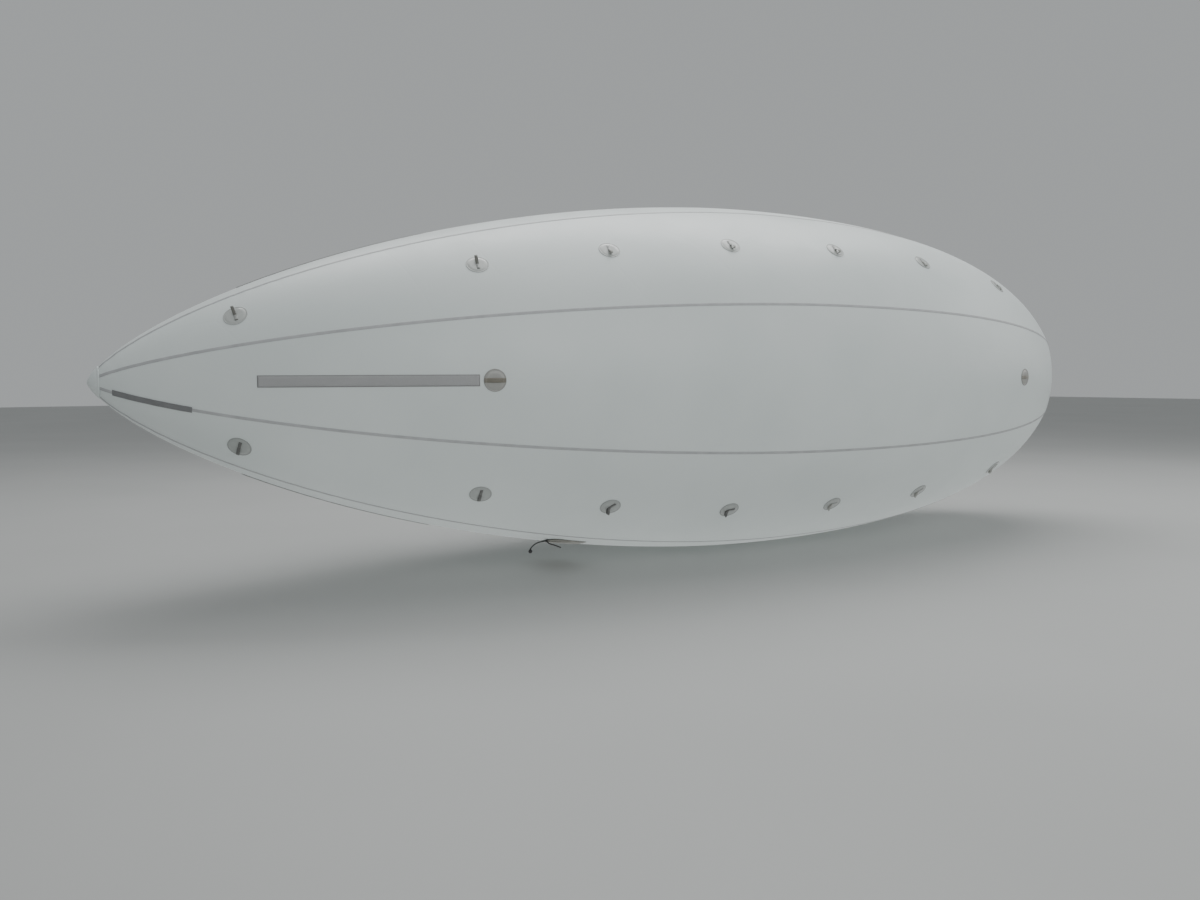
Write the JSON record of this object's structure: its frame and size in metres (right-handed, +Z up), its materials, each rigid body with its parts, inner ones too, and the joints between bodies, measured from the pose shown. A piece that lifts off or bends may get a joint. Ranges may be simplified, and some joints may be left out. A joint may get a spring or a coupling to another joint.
{
  "type": "advertising blimp balloon",
  "caption": "Cigar-shaped gored gas balloon that floats and carries banners on looped patches, with tail fin seats and a tied filling sleeve.",
  "frame": {"origin": "on the long axis at the widest section, the middle of the float's lift", "axes": "+X along the long axis to the nose, +Z up through the top gore, -Y to starboard"},
  "size_m": [6.9961, 2.3092, 2.3092],
  "materials": {
    "film": "satin white coated film",
    "film_reinforced": "satin white film, doubled",
    "seam_tape": "thin grey welded tape",
    "patch": "grey coated fabric with a darker rim",
    "hook_strip": "grey hook-and-loop tape with a dark edge",
    "webbing": "dark woven webbing",
    "strap": "olive-brown woven strap",
    "sleeve": "dark grey soft film",
    "cord": "black braided elastic cord",
    "ball": "black moulded ball"
  },
  "bodies": {
    "root": {"gore_starboard": "film", "gore_starboard_upper": "film", "gore_top": "film", "gore_port_upper": "film", "gore_port": "film", "gore_port_lower": "film", "gore_belly": "film", "gore_starboard_lower": "film", "seam_tape_1": "seam_tape", "seam_tape_2": "seam_tape", "seam_tape_3": "seam_tape", "seam_tape_4": "seam_tape", "seam_tape_5": "seam_tape", "seam_tape_6": "seam_tape", "seam_tape_7": "seam_tape", "seam_tape_8": "seam_tape", "closing_tape": "seam_tape", "nose_disc": "film_reinforced", "tail_disc": "film_reinforced", "fin_strip_starboard": "hook_strip", "fin_strip_top": "hook_strip", "fin_strip_port": "hook_strip", "fin_strip_belly": "hook_strip", "strap_patch_starboard_aft": "patch", "strap_patch_starboard_fore": "patch", "strap_patch_port_aft": "patch", "strap_patch_port_fore": "patch", "banner_loop_starboard_upper_1": "patch", "banner_loop_starboard_upper_2": "patch", "banner_loop_starboard_upper_3": "patch", "banner_loop_starboard_upper_4": "patch", "banner_loop_starboard_upper_5": "patch", "banner_loop_starboard_upper_6": "patch", "banner_loop_starboard_upper_7": "patch", "banner_loop_starboard_lower_1": "patch", "banner_loop_starboard_lower_2": "patch", "banner_loop_starboard_lower_3": "patch", "banner_loop_starboard_lower_4": "patch", "banner_loop_starboard_lower_5": "patch", "banner_loop_starboard_lower_6": "patch", "banner_loop_starboard_lower_7": "patch", "banner_loop_port_upper_1": "patch", "banner_loop_port_upper_2": "patch", "banner_loop_port_upper_3": "patch", "banner_loop_port_upper_4": "patch", "banner_loop_port_upper_5": "patch", "banner_loop_port_upper_6": "patch", "banner_loop_port_upper_7": "patch", "banner_loop_port_lower_1": "patch", "banner_loop_port_lower_2": "patch", "banner_loop_port_lower_3": "patch", "banner_loop_port_lower_4": "patch", "banner_loop_port_lower_5": "patch", "banner_loop_port_lower_6": "patch", "banner_loop_port_lower_7": "patch", "filling_sleeve": "sleeve", "tie_knot": "cord", "tie_cord": "cord", "tie_tail": "cord", "tie_ball": "ball"}
  },
  "joints": []
}
